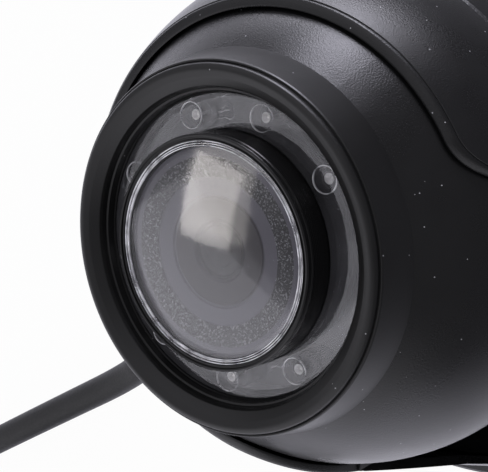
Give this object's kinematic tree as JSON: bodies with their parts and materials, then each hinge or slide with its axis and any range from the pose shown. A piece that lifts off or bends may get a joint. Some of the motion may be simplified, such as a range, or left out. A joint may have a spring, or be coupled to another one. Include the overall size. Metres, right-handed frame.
{
  "type": "backup camera",
  "caption": "Surface-mounted backup camera with a tilting ball head, a ring of infrared lamps round its lens, a visor, a flared housing and a coiled cable with a plug.",
  "frame": {"origin": "centre of the sealing pad's underside, on the panel that the camera is fixed to", "axes": "+Z out of the panel, along the lens axis at rest; -Y towards the slot that the lens tilts into; X along the tilt axis"},
  "size_m": [0.2251, 0.1118, 0.0685],
  "materials": {
    "shell": "fine satin texture",
    "bezel": "satin",
    "base": "satin",
    "window": "clear, tinted",
    "inner_black": "matte",
    "lens_glass": "polished",
    "filter_glass": "polished",
    "lamp": "clear resin",
    "sensor": "polished",
    "lamp_circuit": "lacquered",
    "circuit": "lacquered",
    "metal": "machined",
    "screw": "plated",
    "post": "plated",
    "rubber": "matte",
    "cable_jacket": "smooth jacket",
    "connector": "moulded"
  },
  "bodies": {
    "base": {"housing": "shell", "visor": "shell", "base_plate": "base", "sealing_pad": "rubber", "lock_screws": "screw", "cable_boot": "rubber", "inner_cable": "cable_jacket", "terminal_block": "inner_black", "cable": "cable_jacket", "cable_coil": "cable_jacket", "connector_body": "connector", "contact_pins": "post"},
    "head": {"ball_front_shell": "shell", "ball_rear_shell": "shell", "bezel_ring": "bezel", "clear_window": "window", "lens_barrel": "inner_black", "lens_baffle": "inner_black", "lens_holder": "inner_black", "cover_glass": "lens_glass", "front_lens": "lens_glass", "rear_lens": "lens_glass", "infrared_filter": "filter_glass", "infrared_lamps": "lamp", "image_sensor": "sensor", "daylight_sensor": "sensor", "signal_processor": "sensor", "lamp_board": "lamp_circuit", "image_board": "circuit", "main_board": "circuit", "lens_carrier": "metal", "barrel_nut": "metal", "carrier_screws": "screw", "board_screws": "screw", "shell_screws": "screw", "left_tilt_pin": "screw", "right_tilt_pin": "screw", "image_board_posts": "post", "main_board_posts": "post", "ball_seal": "rubber", "ball_grommet": "rubber", "left_friction_washer": "rubber", "right_friction_washer": "rubber"},
    "plug_ring": {"coupling_ring": "connector"}
  },
  "joints": [
    {"name": "head_tilt", "type": "hinge", "parent": "base", "child": "head", "pos_m": [0, 0, 0.037], "axis": [1, 0, 0], "range_deg": [-8, 70]},
    {"name": "coupling_ring_spin", "type": "hinge", "parent": "base", "child": "plug_ring", "pos_m": [-0.12641, -0.02409, 0.0089], "axis": [0.9996, -0.0297, 0], "continuous": true}
  ]
}
